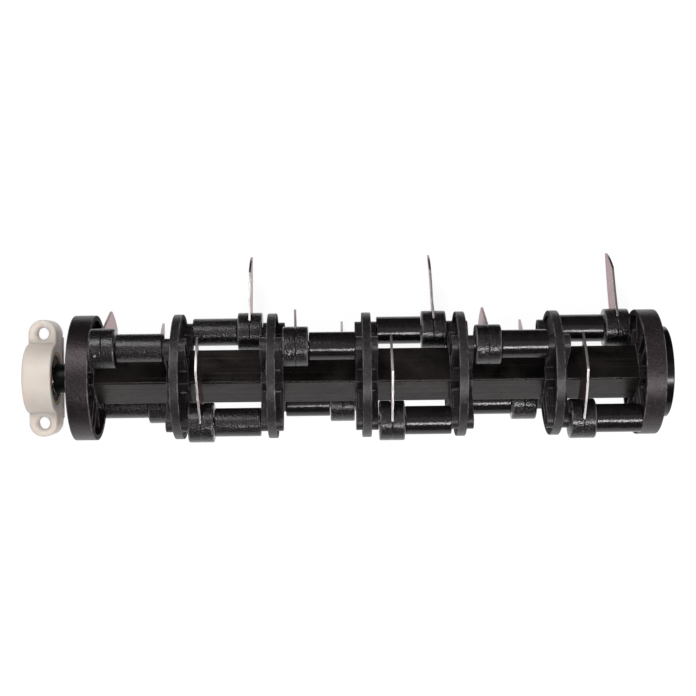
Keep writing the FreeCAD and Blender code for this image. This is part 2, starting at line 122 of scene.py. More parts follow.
# Tines and spacers
hub_radius = 11.7
hub_bore_radius = 3.08
hub_edge = 1.0
hub_ring_x = 3.2            # rings of points that keep the faces beside the groove even
notch_depth = 1.9           # the groove is smaller than the CAD's, as the photo shows it
notch_half_width = 1.35
notch_half_angle = 66.0
notch_fade_angle = 14.0
mould_line_half_width = 0.4
mould_line_depth = 0.2
gate_offset = 3.5
gate_nub_radius = 0.65
gate_pit_radius = 1.15
gate_pit_depth = 0.7
gate_draft = 0.15
gate_pit_flare = 0.55
knife_thickness = 1.4
knife_length = 51.0
knife_end_half_width = 9.25
knife_slant_length = 15.0
knife_slant_bulge = 1.2
knife_root_half_width = 10.8
knife_root_height = 3.5
knife_edge = 0.22
knife_bend_start = 8.0
knife_columns = 12
knife_lower_rows = 30
knife_upper_rows = 14
spacer_radius = 8.4
pin_radius = 3.0

# Bearing, journal and bracket
bearing_left = -1.95
bearing_right = 8.05
bearing_outer_radius = 16.0
bearing_bore_radius = 6.0
outer_land_radius = 13.3
inner_land_radius = 8.7
seal_seat_radius = 14.0
seal_seat_depth = 1.15
bracket_half_width = 8.55
bracket_half_length = 35.3
bracket_cavity_left = -6.15
bracket_cavity_radius = 13.4
housing_radius = 21.0
hole_offset = 27.0
screw_hole_radius = 3.6
screw_seat_radius = 5.3
screw_seat_depth = 1.6
ear_plate = 7.0
ear_core_radius = 6.2
ear_edge = 1.6
pad_half_length = 24.9
pad_height = 3.0
pad_stand_out = 0.5
journal_left = -4.95
groove_left = -3.05
groove_right = -2.05
groove_depth = 0.35
core_left = 23.25
plug_right = 51.25


# Basic meshes
def new_piece(name, vertices, faces):
    """Mesh object from corners in millimetres, with its faces turned outwards."""
    mesh = bpy.data.meshes.new(name)
    shape = bmesh.new()
    made = [shape.verts.new(Vector(corner) * MM) for corner in vertices]
    for face in faces:
        corners = list(dict.fromkeys(face))
        if len(corners) > 2:
            shape.faces.new([made[index] for index in corners])
    bmesh.ops.recalc_face_normals(shape, faces=shape.faces)
    shape.to_mesh(mesh)
    shape.free()
    piece = bpy.data.objects.new(name, mesh)
    bpy.context.scene.collection.objects.link(piece)
    return piece


def softened(points, size, steps=3):
    """Closed outline with each corner rounded off; a third number in a point is its own size."""
    rounded = []
    count = len(points)
    for index, point in enumerate(points):
        corner = Vector(point[:2])
        own_size = point[2] if len(point) > 2 else size
        before = Vector(points[index - 1][:2]) - corner
        after = Vector(points[(index + 1) % count][:2]) - corner
        reach = min(own_size, before.length * 0.45, after.length * 0.45)
        if reach < 1e-4:
            rounded.append(tuple(corner))
            continue
        start = corner + before.normalized() * reach
        end = corner + after.normalized() * reach
        for step in range(steps + 1):
            t = step / steps
            rounded.append(tuple((1 - t) ** 2 * start + 2 * t * (1 - t) * corner + t * t * end))
    return rounded


def on_circle(radius, angle):
    """(y, z) of a point about the X axis, its angle in degrees from +Z towards +Y."""
    return radius * math.sin(math.radians(angle)), radius * math.cos(math.radians(angle))


def turned(name, profile, segments=128, radius_at=None):
    """Piece turned about the X axis from a closed outline of (x, radius) points."""
    vertices = []
    rings = []
    for x, radius in profile:
        if radius < 1e-6:
            rings.append([len(vertices)] * segments)
            vertices.append((x, 0, 0))
            continue
        rings.append(range(len(vertices), len(vertices) + segments))
        for step in range(segments):
            angle = 360 * step / segments
            here = radius_at(x, radius, angle) if radius_at else radius
            vertices.append((x, *on_circle(here, angle)))
    faces = []
    for index, here in enumerate(rings):
        there = rings[(index + 1) % len(rings)]
        for step in range(segments):
            following = (step + 1) % segments
            faces.append([here[step], here[following], there[following], there[step]])
    return new_piece(name, vertices, faces)


def prism(name, outline, x_start, x_end):
    """Outline of (y, z) points drawn out along X."""
    count = len(outline)
    vertices = [(x, *point) for x in (x_start, x_end) for point in outline]
    faces = [list(range(count)), list(range(count, 2 * count))]
    for index in range(count):
        following = (index + 1) % count
        faces.append([index, following, count + following, count + index])
    return new_piece(name, vertices, faces)


def tube(name, outer, inner, x_start, x_end):
    """Two outlines of as many (y, z) points, drawn out along X with the hole between them open."""
    count = len(outer)
    vertices = []
    for outline in (outer, inner):
        for x in (x_start, x_end):
            vertices += [(x, *point) for point in outline]
    outer_start, outer_end, inner_start, inner_end = (count * index for index in range(4))
    faces = []
    for first, second in ((outer_start, outer_end), (inner_start, inner_end),
                          (outer_start, inner_start), (outer_end, inner_end)):
        for index in range(count):
            following = (index + 1) % count
            faces.append([first + index, first + following, second + following, second + index])
    return new_piece(name, vertices, faces)


def block(name, low, high):
    """Box between two corners, given as (x, y, z)."""
    outline = [(low[1], low[2]), (high[1], low[2]), (high[1], high[2]), (low[1], high[2])]
    return prism(name, outline, low[0], high[0])


def circle(radius, steps=96):
    return [on_circle(radius, 360 * step / steps) for step in range(steps)]


def square(half, steps=96):
    """Square outline with as many points as a circle of that many steps."""
    points = []
    for step in range(steps):
        y, z = on_circle(1, 360 * step / steps)
        reach = half / max(abs(y), abs(z))
        points.append((y * reach, z * reach))
    return points


def rounded_square(half, radius, steps=6):
    centre = half - radius
    points = []
    for quarter, (side_y, side_z) in enumerate(((1, 1), (1, -1), (-1, -1), (-1, 1))):
        for step in range(steps + 1):
            y, z = on_circle(radius, 90 * quarter + 90 * step / steps)
            points.append((side_y * centre + y, side_z * centre + z))
    return points


def slot_outline(half_width, bottom, round_centre, steps=20):
    """Upright (y, z) outline with a flat bottom and a round top about round_centre."""
    points = [(-half_width, bottom)]
    for step in range(steps + 1):
        y, z = on_circle(half_width, -90 + 180 * step / steps)
        points.append((y, round_centre + z))
    points.append((half_width, bottom))
    return points


# Work on meshes
def settle(piece):
    """Turn the piece's modifiers into plain mesh."""
    bpy.context.view_layer.update()
    evaluated = piece.evaluated_get(bpy.context.evaluated_depsgraph_get())
    mesh = bpy.data.meshes.new_from_object(evaluated)
    piece.modifiers.clear()
    piece.data = mesh
    return piece


def combine(piece, tools, operation):
    for tool in tools:
        modifier = piece.modifiers.new("shape", "BOOLEAN")
        modifier.operation = operation
        modifier.solver = "EXACT"
        modifier.object = tool
    settle(piece)
    for tool in tools:
        bpy.data.objects.remove(tool)
    return piece


def bevelled(piece, width, segments=2, angle=32):
    modifier = piece.modifiers.new("edges", "BEVEL")
    modifier.width = width * MM
    modifier.segments = segments
    modifier.limit_method = "ANGLE"
    modifier.angle_limit = math.radians(angle)
    return settle(piece)


def moved(piece, matrix):
    piece.data.transform(matrix)
    return piece


def turn(angle):
    """Turn about the X axis, from +Z towards +Y."""
    return Matrix.Rotation(-math.radians(angle), 4, "X")


def shift(x, y, z):
    return Matrix.Translation(Vector((x, y, z)) * MM)


def joined(name, pieces):
    """One piece from several, each kept as its own closed shell."""
    shape = bmesh.new()
    for piece in pieces:
        shape.from_mesh(piece.data)
    mesh = bpy.data.meshes.new(name)
    shape.to_mesh(mesh)
    shape.free()
    for piece in pieces:
        bpy.data.objects.remove(piece)
    whole = bpy.data.objects.new(name, mesh)
    bpy.context.scene.collection.objects.link(whole)
    return whole


def placed_copy(name, piece, place):
    """Copy of the piece with its mesh turned and moved into place."""
    copy = piece.copy()
    copy.name = name
    copy.data = piece.data.copy()
    bpy.context.scene.collection.objects.link(copy)
    return moved(copy, place)


def keep_own_place(piece):
    """Note where each vertex is before the piece is turned, for a finish that follows the piece."""
    note = piece.data.attributes.new("own_place", "FLOAT_VECTOR", "POINT")
    note.data.foreach_set("vector", [value for vertex in piece.data.vertices for value in vertex.co])
    return piece


def note_faces(piece, note_name, chosen):
    """Write down which faces are chosen, for a finish that treats them in its own way."""
    note = piece.data.attributes.new(note_name, "FLOAT", "FACE")
    for face in piece.data.polygons:
        note.data[face.index].value = 1.0 if chosen(face) else 0.0
    return piece


def note_edges(piece):
    """Note a disc's narrow faces, which lie along its edges."""
    def narrow(face):
        corners = [piece.data.vertices[index].co for index in face.vertices]
        longest = max((corners[index] - corners[index - 1]).length for index in range(len(corners)))
        return face.area < longest * disc_edge_face * MM

    return note_faces(piece, "edge_face", narrow)


def smooth(piece, angle=35):
    piece.data.shade_smooth()
    piece.data.set_sharp_from_angle(angle=math.radians(angle))
    modifier = piece.modifiers.new("even shading", "WEIGHTED_NORMAL")
    modifier.keep_sharp = True
    return piece


# Materials
def calculated(tree, operation, *values):
    """Output of a Math node, whose values are numbers or outputs of other nodes."""
    node = tree.nodes.new("ShaderNodeMath")
    node.operation = operation
    for socket, value in zip(node.inputs, values):
        if isinstance(value, float):
            socket.default_value = value
        else:
            tree.links.new(value, socket)
    return node.outputs[0]


def blended(tree, share, first, second):
    """Two shaders, of which share gives how much of the second shows."""
    node = tree.nodes.new("ShaderNodeMixShader")
    for socket, value in zip(node.inputs, (share, first, second)):
        tree.links.new(value, socket)
    return node.outputs["Shader"]


class Finish:
    """A material with a Principled shader and short calls for the nodes that feed it."""

    def __init__(self, name, roughness, metallic=0.0, subsurface=0.0):
        self.material = bpy.data.materials.new(name)
        self.material.use_nodes = True
        self.tree = self.material.node_tree
        self.nodes = self.tree.nodes
        self.links = self.tree.links
        self.shader = self.nodes["Principled BSDF"]
        self.shader.inputs["Roughness"].default_value = roughness
        self.shader.inputs["Metallic"].default_value = metallic
        if subsurface:
            self.shader.inputs["Subsurface Weight"].default_value = subsurface
            self.shader.inputs["Subsurface Radius"].default_value = (1.0, 0.75, 0.55)
            self.shader.inputs["Subsurface Scale"].default_value = 0.006
        self.place = self.own_place()

    def reflect(self, level, tint):
        """Strength and tint of what the surface mirrors."""
        self.shader.inputs["Specular IOR Level"].default_value = level
        self.shader.inputs["Specular Tint"].default_value = (*tint, 1)

    def coat(self, weight, roughness, normal):
        """Thin clear skin of its own gloss and relief over the surface."""
        self.shader.inputs["Coat Weight"].default_value = weight
        self.shader.inputs["Coat Roughness"].default_value = roughness
        self.links.new(normal, self.shader.inputs["Coat Normal"])

    def own_place(self):
        """Coordinates of the piece, set off by its own random number."""
        coordinates = self.nodes.new("ShaderNodeTexCoord")
        info = self.nodes.new("ShaderNodeObjectInfo")
        spread = self.nodes.new("ShaderNodeVectorMath")
        spread.operation = "MULTIPLY_ADD"
        spread.inputs[1].default_value = (3.1, 1.7, 2.3)
        self.links.new(info.outputs["Random"], spread.inputs[0])
        self.links.new(coordinates.outputs["Object"], spread.inputs[2])
        return spread.outputs["Vector"]

    def stretched(self, x, y, z, place=None):
        mapping = self.nodes.new("ShaderNodeMapping")
        mapping.inputs["Scale"].default_value = (x, y, z)
        self.links.new(place or self.place, mapping.inputs["Vector"])
        return mapping.outputs["Vector"]

    def noted(self, note_name, output="Fac"):
        """What was written down on the mesh under that name."""
        node = self.nodes.new("ShaderNodeAttribute")
        node.attribute_name = note_name
        return node.outputs[output]

    def worn_edges(self):
        """Painted highlights along edges: one on most of the faces noted as edges, in patches."""
        noted = self.noted("edge_face")
        patches = self.ramp(self.noise(5, 2), 0.40, 0.55, (0.15, 0.15, 0.15), (1, 1, 1))
        return calculated(self.tree, "MULTIPLY", noted, patches)

    def noise(self, grain, detail=3.0, distortion=0.0, place=None):
        """Noise whose grains are that many millimetres across."""
        node = self.nodes.new("ShaderNodeTexNoise")
        node.inputs["Scale"].default_value = 1 / (grain * MM)
        node.inputs["Detail"].default_value = detail
        node.inputs["Distortion"].default_value = distortion
        self.links.new(place or self.place, node.inputs["Vector"])
        return node.outputs["Fac"]

    def ramp(self, value, low, high, first=(0, 0, 0), last=(1, 1, 1)):
        """Colours or levels from first to last where value goes from low to high."""
        node = self.nodes.new("ShaderNodeValToRGB")
        stops = node.color_ramp.elements
        stops[0].position, stops[1].position = low, high
        stops[0].color = (*first, 1)
        stops[1].color = (*last, 1)
        self.links.new(value, node.inputs["Fac"])
        return node.outputs["Color"]

    def mixed(self, amount, first, last):
        """First faded into last by an output; the two are colours or outputs."""
        node = self.nodes.new("ShaderNodeMix")
        node.data_type = "RGBA"
        in_use = [socket for socket in node.inputs if socket.enabled]
        for socket, value in zip(in_use, (amount, first, last)):
            if hasattr(value, "is_linked"):
                self.links.new(value, socket)
            else:
                socket.default_value = (*value, 1)
        return [socket for socket in node.outputs if socket.enabled][0]

    def facing_side(self, low, high):
        """One where the piece's own surface looks across its X axis, nothing where it looks along it."""
        coordinates = self.nodes.new("ShaderNodeTexCoord")
        split = self.nodes.new("ShaderNodeSeparateXYZ")
        self.links.new(coordinates.outputs["Normal"], split.inputs["Vector"])
        size = calculated(self.tree, "ABSOLUTE", split.outputs["X"])
        return self.ramp(size, low, high, (1, 1, 1), (0, 0, 0))

    def levels(self, value, low, high):
        """Value from 0..1 taken to low..high."""
        node = self.nodes.new("ShaderNodeMapRange")
        node.inputs["To Min"].default_value = low
        node.inputs["To Max"].default_value = high
        self.links.new(value, node.inputs["Value"])
        return node.outputs["Result"]

    def bump(self, value, depth, under=None):
        """Relief that many millimetres deep."""
        node = self.nodes.new("ShaderNodeBump")
        node.inputs["Strength"].default_value = 1.0
        node.inputs["Distance"].default_value = depth * MM
        self.links.new(value, node.inputs["Height"])
        if under:
            self.links.new(under, node.inputs["Normal"])
        return node.outputs["Normal"]

    def feed(self, **outputs):
        """Join outputs to the shader's sockets, named with underscores for spaces."""
        for socket, output in outputs.items():
            self.links.new(output, self.shader.inputs[socket.replace("_", " ")])
        return self.material


def ivory_nylon():
    finish = Finish("ivory_nylon", 0.42, subsurface=0.85)
    clouds = finish.noise(14, 3)
    colour = finish.ramp(clouds, 0.3, 0.75, (0.665, 0.592, 0.530), (0.712, 0.651, 0.602))
    grain = finish.noise(1.0, 4)
    return finish.feed(
        Base_Color=colour,
        Roughness=finish.levels(grain, 0.36, 0.52),
        Normal=finish.bump(grain, 0.03, finish.bump(finish.noise(6, 2), 0.15)))


def moulded_disc(name, level, tint, dark, light, speck):
    finish = Finish(name, 0.45)
    finish.reflect(level, tint)
    clouds = finish.noise(11, 4)
    base = finish.ramp(clouds, 0.3, 0.72, dark, light)
    specks = finish.ramp(finish.noise(1.0, 2), 0.54, 0.68)
    grain = finish.noise(1.1, 5)
    rims = finish.facing_side(0.35, 0.75)
    rim_colour = finish.mixed(specks, base, speck)
    rim_gloss = finish.levels(finish.noise(3, 4), 0.30, 0.43)
    # Faces that look along X, such as the cup insides and the flat sides of web and arms, get a near-black
    # colour: painted shade.
    colour = finish.mixed(rims, (0.0055, 0.0046, 0.0049), rim_colour)
    return finish.feed(
        # Faces noted as edges get a lighter colour: painted highlights along the disc's edges.
        Base_Color=finish.mixed(finish.worn_edges(), colour, (0.105, 0.097, 0.098)),
        Roughness=finish.mixed(rims, (0.78, 0.78, 0.78), rim_gloss),
        Normal=finish.bump(grain, 0.20, finish.bump(finish.noise(7, 2), 0.2)))


# What the discs' plastic mirrors and how much, and its dark, light and speck colours
disc_plastics = {
    "disc_plastic": (0.36, (1.0, 0.94, 0.96), (0.0120, 0.0106, 0.0111), (0.0220, 0.0196, 0.0206),
                     (0.046, 0.042, 0.043)),
    # The left disc's copy is darker than the others: its purple tint is its own, and its darker base and
    # specks are painted shade for the dimmer light at the left end.
    "left_disc_plastic_shaded": (0.50, (1.0, 0.84, 0.89), (0.0055, 0.0040, 0.0046), (0.0105, 0.0075, 0.0086),
                          (0.026, 0.020, 0.022)),
    "right_disc_plastic": (0.36, (1.0, 0.88, 0.91), (0.0120, 0.0092, 0.0102), (0.0225, 0.0172, 0.0190),
                           (0.046, 0.038, 0.041)),
}


def hub_plastic():
    finish = Finish("hub_plastic", 0.35)
    finish.reflect(0.29, (1.0, 0.91, 0.92))
    clouds = finish.noise(7, 4, 0.6)
    base = finish.ramp(clouds, 0.32, 0.7, (0.0020, 0.0017, 0.0018), (0.0052, 0.0044, 0.0046))
    flow = finish.noise(3.0, 4, 0.8)
    fibres = finish.noise(0.9, 2)
    specks = finish.ramp(fibres, 0.60, 0.68)
    finish.coat(0.58, 0.09, finish.bump(fibres, 0.15))
    speckled = finish.mixed(specks, base, (0.050, 0.043, 0.045))
    # Lighter colour on the faces of the end roundings: painted highlights along the hub's edges.
    with_edge_highlights = finish.mixed(finish.worn_edges(), speckled, (0.085, 0.078, 0.080))
    return finish.feed(
        # The gate nub's faces get a light colour: a painted glint.
        Base_Color=finish.mixed(finish.noted("gate_face"), with_edge_highlights, (0.30, 0.28, 0.28)),
        Roughness=finish.levels(flow, 0.24, 0.38),
        Normal=finish.bump(fibres, 0.55, finish.bump(flow, 0.12)))


def spacer_plastic():
    """The hubs' plastic, moulded smoother."""
    finish = Finish("spacer_plastic", 0.14)
    finish.reflect(0.5, (1.0, 0.93, 0.94))
    clouds = finish.noise(7, 4, 0.6)
    base = finish.ramp(clouds, 0.32, 0.7, (0.0040, 0.0034, 0.0036), (0.0085, 0.0072, 0.0076))
    fibres = finish.noise(0.9, 2)
    specks = finish.ramp(fibres, 0.60, 0.72)
    return finish.feed(
        Base_Color=finish.mixed(specks, base, (0.022, 0.019, 0.020)),
        Roughness=finish.levels(finish.noise(3.0, 4, 0.8), 0.09, 0.22),
        Normal=finish.bump(fibres, 0.09, finish.bump(finish.noise(5, 2), 0.06)))


def gloss_black_plastic():
    finish = Finish("gloss_black_plastic", 0.14)
    finish.reflect(0.29, (1.0, 0.95, 0.96))
    clouds = finish.noise(6, 3)
    return finish.feed(
        Base_Color=finish.ramp(clouds, 0.3, 0.7, (0.0025, 0.0023, 0.0025), (0.005, 0.0046, 0.005)),
        Roughness=finish.levels(finish.noise(0.9, 3), 0.14, 0.24),
        Normal=finish.bump(finish.noise(2.4, 3), 0.03))


def core_paint():
    finish = Finish("core_paint", 0.3)
    finish.reflect(0.245, (1.0, 0.88, 0.87))
    clouds = finish.noise(26, 5, 0.8)
    base = finish.ramp(clouds, 0.35, 0.68, (0.0025, 0.0022, 0.0022), (0.0170, 0.0145, 0.0130))
    lines = finish.noise(1.6, 4, place=finish.stretched(0.012, 1, 1))
    rubbed = finish.ramp(lines, 0.56, 0.68, last=(0.7, 0.7, 0.7))
    return finish.feed(
        Base_Color=finish.mixed(rubbed, base, (0.024, 0.0195, 0.017)),
        Roughness=finish.levels(finish.noise(6, 4), 0.20, 0.36),
        Normal=finish.bump(lines, 0.12, finish.bump(finish.noise(14, 2), 0.4)))


def with_turning(finish, grain, relief, **outputs):
    """Fine lines about the X axis, as turning leaves them on steel."""
    lines = finish.noise(grain, 2, place=finish.stretched(1, 0.05, 0.05))
    return finish.feed(Normal=finish.bump(lines, relief), **outputs)


def black_steel():
    finish = Finish("black_steel", 0.3, metallic=0.3)
    finish.reflect(0.10, (0.8, 0.9, 0.8))
    return with_turning(
        finish, 0.5, 0.04,
        Base_Color=finish.ramp(finish.noise(4, 4), 0.3, 0.7, (0.003, 0.005, 0.0045), (0.009, 0.010, 0.009)),
        Roughness=finish.levels(finish.noise(1.8, 4), 0.22, 0.42))


def knife_steel():
    """Rolled faces that mirror their surroundings, and duller cut edges."""
    finish = Finish("knife_steel", 0.3)
    finish.reflect(0.5, (0.78, 0.66, 0.67))
    clouds = finish.noise(10, 4, 0.5)
    rolled = finish.ramp(clouds, 0.3, 0.72, (0.36, 0.285, 0.295), (0.455, 0.365, 0.375))
    stains = finish.ramp(finish.noise(3.2, 5), 0.62, 0.78, last=(0.5, 0.5, 0.5))
    lines = finish.noise(0.7, 3, place=finish.stretched(1, 1, 0.06, finish.noted("own_place", "Vector")))
    edges = finish.facing_side(0.35, 0.75)
    faces = finish.mixed(stains, rolled, (0.27, 0.21, 0.20))
    return finish.feed(
        Base_Color=finish.mixed(edges, faces, (0.48, 0.445, 0.44)),
        Metallic=finish.levels(edges, 0.92, 0.95),
        Roughness=finish.levels(edges, 0.27, 0.34),
        Normal=finish.bump(lines, 0.05, finish.bump(finish.noise(7, 2), 0.2)))


def pin_steel():
    finish = Finish("pin_steel", 0.3, metallic=1.0)
    return with_turning(
        finish, 0.3, 0.02,
        Base_Color=finish.ramp(finish.noise(3, 3), 0.3, 0.7, (0.40, 0.395, 0.39), (0.56, 0.55, 0.54)),
        Roughness=finish.levels(finish.noise(1.5, 3), 0.22, 0.4))


def bearing_steel():
    finish = Finish("bearing_steel", 0.25, metallic=1.0)
    finish.reflect(0.5, (0.45, 0.36, 0.28))
    return with_turning(
        finish, 0.3, 0.01,
        Base_Color=finish.ramp(finish.noise(5, 3), 0.3, 0.7, (0.30, 0.235, 0.175), (0.44, 0.365, 0.29)),
        Roughness=finish.levels(finish.noise(1.2, 3), 0.20, 0.36))


def cage_steel():
    finish = Finish("cage_steel", 0.4, metallic=1.0)
    return finish.feed(
        Base_Color=finish.ramp(finish.noise(2, 3), 0.3, 0.7, (0.42, 0.40, 0.37), (0.56, 0.53, 0.50)),
        Normal=finish.bump(finish.noise(0.6, 3), 0.03))


def seal_rubber():
    finish = Finish("seal_rubber", 0.55)
    finish.reflect(0.10, (1.0, 0.9, 0.85))
    return finish.feed(
        Base_Color=finish.ramp(finish.noise(2, 4), 0.3, 0.7, (0.004, 0.003, 0.003), (0.009, 0.007, 0.006)),
        Roughness=finish.levels(finish.noise(0.8, 3), 0.45, 0.65),
        Normal=finish.bump(finish.noise(0.6, 3), 0.04))


finishes = {make.__name__: make() for make in (
    ivory_nylon, hub_plastic, spacer_plastic, gloss_black_plastic, core_paint, black_steel, knife_steel,
    pin_steel, bearing_steel, cage_steel, seal_rubber)}
finishes |= {name: moulded_disc(name, *look) for name, look in disc_plastics.items()}


def dress(piece, finish):
    piece.data.materials.clear()
    piece.data.materials.append(finishes[finish])
    return piece


def stand_for(piece, slot, body, *nodes, finish=None):
    """Give the piece its finish, which is its slot's unless named, and body, in the place of CAD nodes."""
    dress(piece, finish or slot)
    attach(piece, body)
    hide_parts(*nodes)
    return piece


# Where the CAD pieces are
def box_mm(node):
    low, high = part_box(node)
    return low / MM, high / MM


def middle_mm(node):
    low, high = box_mm(node)
    return (low + high) / 2


axis_place = shift(0, 0, axis_height)
roller_place = axis_place @ turn(roller_turn)


# Bracket
def flared_hole(name, x_start, x_end, radius, flare):
    """Round bar along X that widens at its right end, to cut a hole with a soft mouth."""
    steps = 6
    profile = [(x_start, 0), (x_end + overshoot, 0), (x_end + overshoot, radius + flare + overshoot)]
    for step in range(steps + 1):
        angle = math.radians(90 * step / steps)
        profile.append((x_end - flare + flare * math.cos(angle), radius + flare - flare * math.sin(angle)))
    profile.append((x_start, radius))
    return turned(name, profile, segments=96)


def upright(piece, y):
    """Stand a piece made along X on the table, at y."""
    return moved(piece, shift(0, y, 0) @ Matrix.Rotation(-math.pi / 2, 4, "Y"))


def screw_opening(y):
    hollow_top = axis_height - ear_plate
    seat_bottom = axis_height - screw_seat_depth
    opening = turned("opening", softened([
        (-overshoot, 0, 0), (-overshoot, ear_core_radius, 0), (hollow_top, ear_core_radius, 0.8),
        (hollow_top, screw_hole_radius, 0.2), (seat_bottom, screw_hole_radius, 0.9),
        (axis_height, screw_seat_radius, 0.8), (axis_height + 0.6, screw_seat_radius + 3, 0),
        (axis_height + 0.6, 0, 0),
    ], 0, 5), 96)
    return upright(opening, y)


def make_bracket():
    straight = bracket_half_length - bracket_half_width
    steps = 32
    outline = []
    for end in (1, -1):
        for step in range(steps + 1):
            angle = math.radians(180 * step / steps)
            outline.append((end * (straight + bracket_half_width * math.sin(angle)),
                            -end * bracket_half_width * math.cos(angle)))
    slab = bevelled(prism("bracket", outline, 0, axis_height), ear_edge, 5)
    moved(slab, Matrix.Rotation(-math.pi / 2, 4, "Y"))
    crown = turned("crown", softened([
        (-bracket_half_width, 0), (bracket_half_width, 0),
        (bracket_half_width, housing_radius, 1.2), (-bracket_half_width, housing_radius, 1.6),
    ], 0, 5))
    moved(crown, axis_place)
    pad = bevelled(block("pad", (bracket_half_width - 1, -pad_half_length, 0),
                         (bracket_half_width + pad_stand_out, pad_half_length, pad_height)), 0.25)
    combine(slab, [crown, pad], "UNION")
    pocket = moved(flared_hole("pocket", bearing_left, bracket_half_width, bearing_outer_radius, 0.5),
                   axis_place)
    cavity_right = bearing_left + 0.2
    cavity = moved(turned("cavity", softened([
        (bracket_cavity_left, 0), (cavity_right, 0), (cavity_right, bracket_cavity_radius),
        (bracket_cavity_left, bracket_cavity_radius, 0.8),
    ], 0)), axis_place)
    openings = [screw_opening(y) for y in (-hole_offset, hole_offset)]
    combine(slab, [pocket, cavity] + openings, "DIFFERENCE")
    return smooth(slab, 40)


stand_for(make_bracket(), "ivory_nylon", "bracket", "bearing_bracket")


# Bearing
def make_outer_ring():
    left_seat = bearing_left + seal_seat_depth
    right_seat = bearing_right - seal_seat_depth
    profile = [
        (bearing_left, bearing_outer_radius), (bearing_right, bearing_outer_radius),
        (bearing_right, seal_seat_radius, 0.2), (right_seat, seal_seat_radius, 0),
        (right_seat, outer_land_radius, 0), (left_seat, outer_land_radius, 0),
        (left_seat, seal_seat_radius, 0), (bearing_left, seal_seat_radius, 0.2),
    ]
    return smooth(moved(turned("outer_ring", softened(profile, 0.8)), axis_place))


def make_inner_ring():
    profile = [
        (bearing_left, bearing_bore_radius), (bearing_right, bearing_bore_radius),
        (bearing_right, inner_land_radius), (bearing_left, inner_land_radius),
    ]
    return smooth(moved(turned("inner_ring", softened(profile, 0.5)), axis_place))


def make_seal(face_x, side):
    """Rubber seal with a bead near its lip; side is the way its face looks."""
    inner = inner_land_radius + 0.15
    heights = [(0, seal_seat_radius), (0.35, seal_seat_radius - 0.1), (0.45, seal_seat_radius - 0.7),
               (0.12, seal_seat_radius - 1.2), (0.12, inner + 1.9), (0.42, inner + 1.3),
               (0.42, inner + 0.5), (0.1, inner)]
    base = face_x - side * seal_seat_depth
    profile = [(base + side * (height + 0.35), radius) for height, radius in heights]
    profile += [(base, inner), (base, seal_seat_radius)]
    return moved(turned("seal", softened(profile, 0.12, 2)), axis_place)


stand_for(make_outer_ring(), "bearing_steel", "bracket", "bearing_outer_ring")
stand_for(make_inner_ring(), "bearing_steel", "roller", "bearing_inner_ring")
stand_for(smooth(joined("seals", [make_seal(bearing_left, -1), make_seal(bearing_right, 1)])),
          "seal_rubber", "bracket", "bearing_seals")


# Journal
def make_journal():
    seat = bearing_bore_radius
    groove = seat - groove_depth
    shaft = turned("journal", softened([
        (journal_left, 0, 0), (core_left, 0, 0), (core_left, journal_radius, 0),
        (bearing_right, journal_radius, 0.5), (bearing_right, seat, 0), (groove_right, seat, 0),
        (groove_right, groove, 0), (groove_left, groove, 0), (groove_left, seat, 0),
        (journal_left, seat, 0.6),
    ], 0.3))
    plug = prism("plug", rounded_square(plug_half, 0.8), core_left, plug_right)
    moved(bevelled(plug, 0.4), turn(roller_turn))
    return smooth(moved(joined("journal_piece", [shaft, plug]), axis_place))


stand_for(make_journal(), "black_steel", "roller", "bearing_journal")


# Core tube
def make_core_tube():
    low, high = box_mm("core_tube")
    tube_piece = tube("core", rounded_square(core_half, core_corner_radius, 8),
                      rounded_square(core_bore_half, 0.2, 8), low.x, high.x)
    return smooth(moved(tube_piece, roller_place))


stand_for(make_core_tube(), "core_paint", "roller", "core_tube")


# Discs
def make_arm(x_start, x_end, pocket_sides):
    """Upright arm; pocket_sides lists -1 and +1 for a pocket in its left and right face."""
    outline = slot_outline(arm_width / 2, collar_half - overlap, axle_circle_radius)
    arm = prism("arm", outline, x_start, x_end)
    tools = []
    recess_low = core_half + arm_foot_length
    recess_high = axle_circle_radius - arm_width / 2
    for side in (-1, 1):
        near, far = sorted((side * (arm_width / 2 - arm_side_recess), side * (arm_width / 2 + overshoot)))
        tools.append(block("recess", (x_start + arm_flange, near, recess_low),
                           (x_end - arm_flange, far, recess_high)))
    pocket = slot_outline(arm_width / 2 - arm_pocket_wall, recess_low, axle_circle_radius)
    for side in pocket_sides:
        face_x = x_start if side < 0 else x_end
        near, far = sorted((face_x - side * arm_pocket_depth, face_x + side * overshoot))
        tools.append(prism("pocket", pocket, near, far))
    combine(arm, tools, "DIFFERENCE")
    return bevelled(arm, arm_edge, 2)


def arms(x_start, x_end, pockets):
    """The four arms; pockets gives the pocket sides of the first and of the second pair."""
    pieces = []
    for index in range(arm_count):
        arm = make_arm(x_start, x_end, pockets[index % 2])
        pieces.append(moved(arm, turn(360 / arm_count * index)))
    return pieces


def rim(x_start, x_end):
    inner = disc_radius - rim_thickness
    return turned("rim", softened([
        (x_start, inner, 0.3), (x_end, inner, 0.3), (x_end, disc_radius), (x_start, disc_radius),
    ], rim_edge, 4), segments=192)


def collar(x_start, x_end):
    ring = tube("collar", square(collar_half), square(collar_hole_half), x_start, x_end)
    return bevelled(ring, 0.3)


def pockets_of(left_bay, right_bay):
    """Pocket sides of the even and the odd arms: a face has one where its bay holds no pin there."""
    sides = ([], [])
    for bay, side in ((left_bay, -1), (right_bay, 1)):
        if bay is not None:
            sides[1 - bay % 2].append(side)
    return sides


